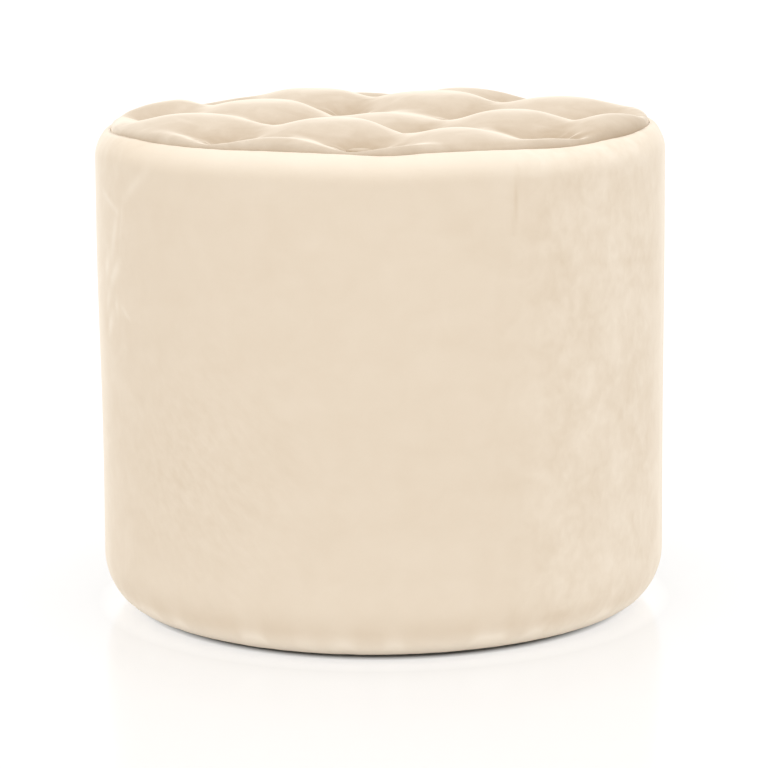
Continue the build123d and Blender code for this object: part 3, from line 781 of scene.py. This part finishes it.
def make_band():
    face = np.array(band_profile())
    lining = np.array(band_lining())
    ahead = np.gradient(face, axis=0)
    outward = np.stack([-ahead[:, 1], ahead[:, 0]], axis=1)
    outward /= np.linalg.norm(outward, axis=1, keepdims=True)
    turns = 2 * pi * np.arange(SIDE_SEGMENTS) / SIDE_SEGMENTS
    angle, row = np.meshgrid(turns, np.arange(len(face)), indexing="ij")
    radius, z = face[row, 0], face[row, 1]
    from_front = degrees_from_front(angle)
    on_face = smooth_step(0, 9, row) * smooth_step(0, 12, len(face) - 1 - row)
    below_seam = np.clip(SEAM_Z - z, 0, 1)
    near_foot = smooth_step(75 * MM, 12 * MM, z)
    crease_painted_light, crease_rise = crease_relief(from_front, z)
    push = BAND_SWELL * ripple(angle, (2, 3, 5), 11) * np.cos(5 * z / BODY_RADIUS)
    push = push + BAND_PUCKER * np.exp(-below_seam / (14 * MM)) * ripple(angle, (31, 47, 66, 97), 12)
    push = push + BAND_PUCKER * near_foot * ripple(angle, (26, 41, 59, 83), 13)
    push = push + crease_rise
    from_seam = (np.abs(from_front) - 180) * pi / 180 * BODY_RADIUS
    valley = bump(from_seam, 0, 2.4 * MM) - 0.25 * bump(from_seam, 0, 9 * MM)
    push = (push - BACK_GROOVE * valley) * on_face
    wander = seam_wander(angle) * smooth_step(60 * MM, 0, below_seam)
    drawn_out = smooth_step(BODY_RADIUS, SEAM_RADIUS, radius) * (below_seam < SHOULDER_ROUNDING)
    radius = radius + push * outward[row, 0] + seam_spread(angle) * drawn_out
    height = z + push * outward[row, 1] + wander
    shell = np.stack([radius * np.cos(angle), radius * np.sin(angle), height], axis=2)
    turn = turns[:, None]
    lining_radius = lining[:, 0] + seam_spread(turn) * (lining[:, 1] > SHOULDER_Z)
    inside = np.stack(
        [lining_radius * np.cos(turn), lining_radius * np.sin(turn), lining[:, 1] + 0 * turn], axis=2
    )
    points = np.concatenate([shell, inside], axis=1)
    size = points.shape[1]
    faces = []
    for n in range(SIDE_SEGMENTS):
        here, there = n * size, (n + 1) % SIDE_SEGMENTS * size
        for k in range(size):
            j = (k + 1) % size
            faces.append((here + k, here + j, there + j, there + k))
    piece = new_piece("side_band", points.reshape(-1, 3), faces, side_velvet)
    paint_band(piece, angle, z, crease_painted_light, len(lining))
    return piece


side = make_band()
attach(side, "root")
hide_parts("side_cover", "side_wadding")


# Stitches and buttons, which repeat: node trees place them, and their meshes are kept


def new_pattern(name, sizes):
    """An empty geometry tree with a named input for each size."""
    tree = bpy.data.node_groups.new(name, "GeometryNodeTree")
    tree.interface.new_socket("Geometry", in_out="INPUT", socket_type="NodeSocketGeometry")
    tree.interface.new_socket("Geometry", in_out="OUTPUT", socket_type="NodeSocketGeometry")
    kinds = {float: "NodeSocketFloat", int: "NodeSocketInt"}
    sockets = {}
    for size, value in sizes.items():
        socket = tree.interface.new_socket(size, in_out="INPUT", socket_type=kinds[type(value)])
        sockets[size] = socket.identifier
    given = add_node(tree, "NodeGroupInput").outputs
    return tree, sockets, given


def run_pattern(name, points, edges, tree, sockets, sizes):
    mesh = bpy.data.meshes.new(name)
    mesh.from_pydata(points, edges, [])
    piece = bpy.data.objects.new(name, mesh)
    bpy.context.scene.collection.objects.link(piece)
    pattern = piece.modifiers.new("pattern", "NODES")
    pattern.node_group = tree
    for size, value in sizes.items():
        pattern[sockets[size]] = value
    keep_evaluated(piece)
    return piece


def finish_pattern(tree, instances, material):
    solid = add_node(tree, "GeometryNodeRealizeInstances", {"Geometry": instances})
    smooth = add_node(tree, "GeometryNodeSetShadeSmooth", {"Geometry": solid.outputs[0]})
    finished = add_node(
        tree, "GeometryNodeSetMaterial", {"Geometry": smooth.outputs[0], "Material": material}
    )
    add_node(tree, "NodeGroupOutput", {0: finished.outputs[0]})


TOP_STITCH_DEPTH = 3.2 * MM
BACK_STITCH_DEPTH = 1.0 * MM
STITCH_SIZES = {"Stitch Length": 3.4 * MM, "Stitch Spacing": 4.2 * MM, "Thread Radius": 0.5 * MM}


def stitch_pattern():
    """One rounded stitch after another along a path."""
    tree, sockets, given = new_pattern("stitches", STITCH_SIZES)
    path = add_node(tree, "GeometryNodeMeshToCurve", {"Mesh": given["Geometry"]})
    places = add_node(
        tree,
        "GeometryNodeResampleCurve",
        {"Curve": path.outputs[0], "Length": given["Stitch Spacing"]},
        mode="LENGTH",
    )
    heading = add_node(tree, "GeometryNodeInputTangent")
    turned = add_node(
        tree, "FunctionNodeAlignRotationToVector", {"Vector": heading.outputs[0]}, axis="X"
    )
    half = add_node(tree, "ShaderNodeMath", {0: given["Stitch Length"], 1: 0.5}, operation="MULTIPLY")
    size = add_node(
        tree,
        "ShaderNodeCombineXYZ",
        {"X": half.outputs[0], "Y": given["Thread Radius"], "Z": given["Thread Radius"]},
    )
    stitch = add_node(tree, "GeometryNodeMeshUVSphere", {"Segments": 8, "Rings": 6, "Radius": 1.0})
    placed = add_node(
        tree,
        "GeometryNodeInstanceOnPoints",
        {
            "Points": places.outputs[0],
            "Instance": stitch.outputs["Mesh"],
            "Rotation": turned.outputs[0],
            "Scale": size.outputs[0],
        },
    )
    finish_pattern(tree, placed.outputs[0], sewing_thread)
    return tree, sockets


def make_stitches():
    tree, sockets = stitch_pattern()
    turns = np.linspace(0, 2 * pi, 720, endpoint=False)
    level = SEAM_Z - TOP_STITCH_DEPTH
    reach = SEAM_RADIUS + seam_spread(turns)
    ring = np.column_stack([reach * np.cos(turns), reach * np.sin(turns), level + seam_wander(turns)])
    round_edges = [(n, (n + 1) % len(ring)) for n in range(len(ring))]
    top = run_pattern("top_seam_stitches", ring, round_edges, tree, sockets, STITCH_SIZES)
    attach(top, "root")
    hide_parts("top_seam_thread")
    thread_y = BODY_RADIUS - BACK_STITCH_DEPTH
    line = [(0, thread_y, SHOULDER_Z), (0, thread_y, FOOT_Z)]
    back = run_pattern("back_seam_stitches", line, [(0, 1)], tree, sockets, STITCH_SIZES)
    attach(back, "root")
    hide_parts("back_seam_thread")


BUTTON_FLATNESS = 0.45
BUTTON_FOLD = 0.25 * MM
BUTTON_TILT = 0.015
BUTTON_NAP = 0.02
BUTTON_PAINTED_SHADE = 0.26
BUTTON_CRUSH = 0.3

# Under its edge the velvet is tucked in round the metal back: radius, and height against the edge.
BUTTON_TUCK = ((10.4 * MM, -1.2 * MM), (9.2 * MM, -2.6 * MM))
BUTTON_SIZES = {"Tuft Pitch": TUFT_PITCH, "Tuft Turn": TUFT_TURN, "Button Height": cap_low.z, "Seed": 3}


def button_form():
    """One covered button: a low dome of velvet, gathered in small folds round its edge."""
    rise = BUTTON_FLATNESS * (cap_high.z - cap_low.z)
    segments, rings, folds = 36, 9, 11
    points, faces = [(0, 0, rise)], []
    for ring in range(1, rings + 1):
        share = ring / rings
        for n in range(segments):
            angle = 2 * pi * n / segments
            fold = BUTTON_FOLD * smooth_step(0.55, 0.95, share) * cos(folds * angle)
            radius = BUTTON_RADIUS * sin(share * pi / 2) ** 0.9 + fold
            points.append((radius * cos(angle), radius * sin(angle), rise * cos(share * pi / 2) ** 0.8))
    for radius, z in BUTTON_TUCK:
        for n in range(segments):
            angle = 2 * pi * n / segments
            points.append((radius * cos(angle), radius * sin(angle), z))
        rings += 1
    for n in range(segments):
        m = (n + 1) % segments
        faces.append((0, 1 + n, 1 + m))
        for ring in range(rings - 1):
            low, high = 1 + ring * segments, 1 + (ring + 1) * segments
            faces.append((low + n, high + n, high + m, low + m))
    last = 1 + (rings - 1) * segments
    faces.append([last + n for n in reversed(range(segments))])
    return new_piece("button_form", points, faces, shaded_button_velvet)


def make_buttons():
    tree, sockets, given = new_pattern("covered_buttons", BUTTON_SIZES)
    form = button_form()
    span = add_node(tree, "ShaderNodeMath", {0: given["Tuft Pitch"], 1: 3.0}, operation="MULTIPLY")
    grid = add_node(
        tree,
        "GeometryNodeMeshGrid",
        {"Size X": span.outputs[0], "Size Y": span.outputs[0], "Vertices X": 4, "Vertices Y": 4},
    )
    place = add_node(tree, "GeometryNodeInputPosition")
    reach = add_node(tree, "ShaderNodeVectorMath", {0: place.outputs[0]}, operation="LENGTH")
    limit = add_node(tree, "ShaderNodeMath", {0: given["Tuft Pitch"], 1: 1.9}, operation="MULTIPLY")
    corner = add_node(
        tree,
        "FunctionNodeCompare",
        {"A": reach.outputs["Value"], "B": limit.outputs[0]},
        operation="GREATER_THAN",
    )
    kept = add_node(
        tree,
        "GeometryNodeDeleteGeometry",
        {"Geometry": grid.outputs["Mesh"], "Selection": corner.outputs[0]},
        domain="POINT",
    )
    turn = add_node(tree, "ShaderNodeCombineXYZ", {"Z": given["Tuft Turn"]})
    level = add_node(tree, "ShaderNodeCombineXYZ", {"Z": given["Button Height"]})
    laid_out = add_node(
        tree,
        "GeometryNodeTransform",
        {"Geometry": kept.outputs[0], "Translation": level.outputs[0], "Rotation": turn.outputs[0]},
    )
    shape = add_node(tree, "GeometryNodeObjectInfo", {"Object": form})
    spin = add_node(
        tree,
        "FunctionNodeRandomValue",
        {0: (-BUTTON_TILT, -BUTTON_TILT, 0.0), 1: (BUTTON_TILT, BUTTON_TILT, 6.28), "Seed": given["Seed"]},
        data_type="FLOAT_VECTOR",
    )
    placed = add_node(
        tree,
        "GeometryNodeInstanceOnPoints",
        {"Points": laid_out.outputs[0], "Instance": shape.outputs["Geometry"], "Rotation": spin.outputs[0]},
    )
    finish_pattern(tree, placed.outputs[0], shaded_button_velvet)
    buttons = run_pattern("covered_buttons", [], [], tree, sockets, BUTTON_SIZES)
    bpy.data.objects.remove(form)
    above_edge = points_of(buttons.data)[:, 2] - cap_low.z
    # Painted shade: each button is darker towards its edge and paler on its dome
    paint(buttons, "tone_and_painted_light", BUTTON_NAP + BUTTON_PAINTED_SHADE * smooth_step(0.8 * MM, 2.7 * MM, above_edge))
    paint(buttons, "crush", np.full(len(above_edge), BUTTON_CRUSH))
    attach(buttons, "root")
    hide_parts("button_caps")


make_stitches()
make_buttons()


# Dust cover: a stretched round of non-woven cloth under the base, drawn tight between its staples

DUST_RADIUS = dust_high.x
DUST_STAPLES = 18
DUST_RING_STEP = 6 * MM
DUST_SLACK = 0.35 * MM
DUST_EDGE_WAVE = 0.12 * MM


def make_dust_cover():
    flat, faces = even_disc(DUST_RADIUS, DUST_RING_STEP)[:2]
    radius = np.hypot(*flat.T)
    angle = np.arctan2(flat[:, 1], flat[:, 0])
    inside = smooth_step(DUST_RADIUS, 0.55 * DUST_RADIUS, radius)
    slack = DUST_SLACK * inside * (1 + ripple(angle, (3, 5, 8), 31))
    between_staples = 1 - np.cos(DUST_STAPLES * angle)
    edge = DUST_EDGE_WAVE * smooth_step(0.85, 1, radius / DUST_RADIUS) * between_staples
    z = (dust_low.z + dust_high.z) / 2 + slack + edge
    faces = [tuple(reversed(face)) for face in faces]
    cloth = new_piece("dust_cover_cloth", np.column_stack([flat, z]), faces, spunbond())
    wall = cloth.modifiers.new("cloth_thickness", "SOLIDIFY")
    wall.thickness = dust_high.z - dust_low.z
    wall.offset = 0
    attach(cloth, "root")
    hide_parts("dust_cover")


make_dust_cover()


# Stage, light and camera

FLOOR_REACH = 30.0
WORLD_LIGHT = 0.96
WORLD_SEEN = 1.0

# Painted light: a glow that only the camera sees on the floor, by distance from the middle of the pouf,
# strongest just beside the foot, where it lifts the pouf's shadow, and weaker beyond: from, to, and what is
# added between them.
FLOOR_PAINTED_GLOW = [(0.211, 0.223, 0.62), (0.224, 0.258, -0.23), (0.3, 0.5, 0.02)]


def make_floor():
    material, tree, surface, place = new_material("white_sweep", 0.14)
    seen = add_node(tree, "ShaderNodeLightPath").outputs["Is Camera Ray"]
    # The camera sees a greyer floor than the light does, and the painted glow gives back most of its white
    colour = add_node(
        tree,
        "ShaderNodeMix",
        {"Factor": seen, "A": linear("#F8F8F8"), "B": linear("#BCBCBC")},
        data_type="RGBA",
    )
    tree.links.new(colour.outputs["Result"], surface.inputs["Base Color"])
    away = add_node(tree, "ShaderNodeVectorMath", {0: place}, operation="LENGTH").outputs["Value"]
    surface.inputs["Specular IOR Level"].default_value = 0.25
    floor_glow = 0.0
    for near, far, strength in FLOOR_PAINTED_GLOW:
        ring = add_node(
            tree, "ShaderNodeMapRange", {"Value": away, "From Min": near, "From Max": far, "To Max": strength}
        )
        floor_glow = add_node(tree, "ShaderNodeMath", {0: ring.outputs[0], 1: floor_glow}, operation="ADD").outputs[0]
    glow = add_node(tree, "ShaderNodeMath", {0: floor_glow, 1: seen}, operation="MULTIPLY")
    tree.links.new(glow.outputs[0], surface.inputs["Emission Strength"])
    surface.inputs["Emission Color"].default_value = linear("#FFFFFF")
    corners = [(x * FLOOR_REACH, y * FLOOR_REACH, 0) for x, y in ((-1, -1), (1, -1), (1, 1), (-1, 1))]
    new_piece("floor", corners, [(0, 1, 2, 3)], material)


def make_world():
    world = bpy.data.worlds.new("studio")
    world.use_nodes = True
    bpy.context.scene.world = world
    tree = world.node_tree
    path = add_node(tree, "ShaderNodeLightPath")
    seen = path.outputs["Is Camera Ray"]
    for name in ("Is Glossy Ray", "Is Transmission Ray"):
        both = add_node(tree, "ShaderNodeMath", {0: seen, 1: path.outputs[name]}, operation="MAXIMUM")
        seen = both.outputs[0]
    strength = add_node(
        tree, "ShaderNodeMapRange", {"Value": seen, "To Min": WORLD_LIGHT, "To Max": WORLD_SEEN}
    )
    background = tree.nodes["Background"]
    background.inputs["Color"].default_value = linear("#FFFFFF")
    tree.links.new(strength.outputs[0], background.inputs["Strength"])


def add_softbox(name, place, target, size, power):
    light = bpy.data.lights.new(name, "AREA")
    light.shape = "DISK"
    light.size = size
    light.energy = power
    lamp = bpy.data.objects.new(name, light)
    lamp.location = place
    lamp.rotation_euler = (Vector(target) - Vector(place)).to_track_quat("-Z", "Y").to_euler()
    bpy.context.scene.collection.objects.link(lamp)


def make_camera():
    focal_pixels = 2980.7
    frame_pixels = 768
    sensor = 36.0
    place = Vector((0, -2.617, 0.6905))
    pitch, roll, heading = 0.1883, -0.0092, -0.0006
    data = bpy.data.cameras.new("camera")
    data.sensor_width = sensor
    data.lens = focal_pixels / frame_pixels * sensor
    camera = bpy.data.objects.new("camera", data)
    turn = Matrix.Rotation(heading, 4, "Z") @ Matrix.Rotation(pi / 2 - pitch, 4, "X")
    camera.matrix_world = Matrix.Translation(place) @ turn @ Matrix.Rotation(roll, 4, "Z")
    bpy.context.scene.collection.objects.link(camera)
    bpy.context.scene.camera = camera


make_floor()
make_world()
add_softbox("overhead", place=(0, -0.7, 2.6), target=(0, 0, 0.3), size=2.2, power=16)
make_camera()
bpy.context.scene.view_settings.view_transform = "Standard"

bpy.context.view_layer.update()
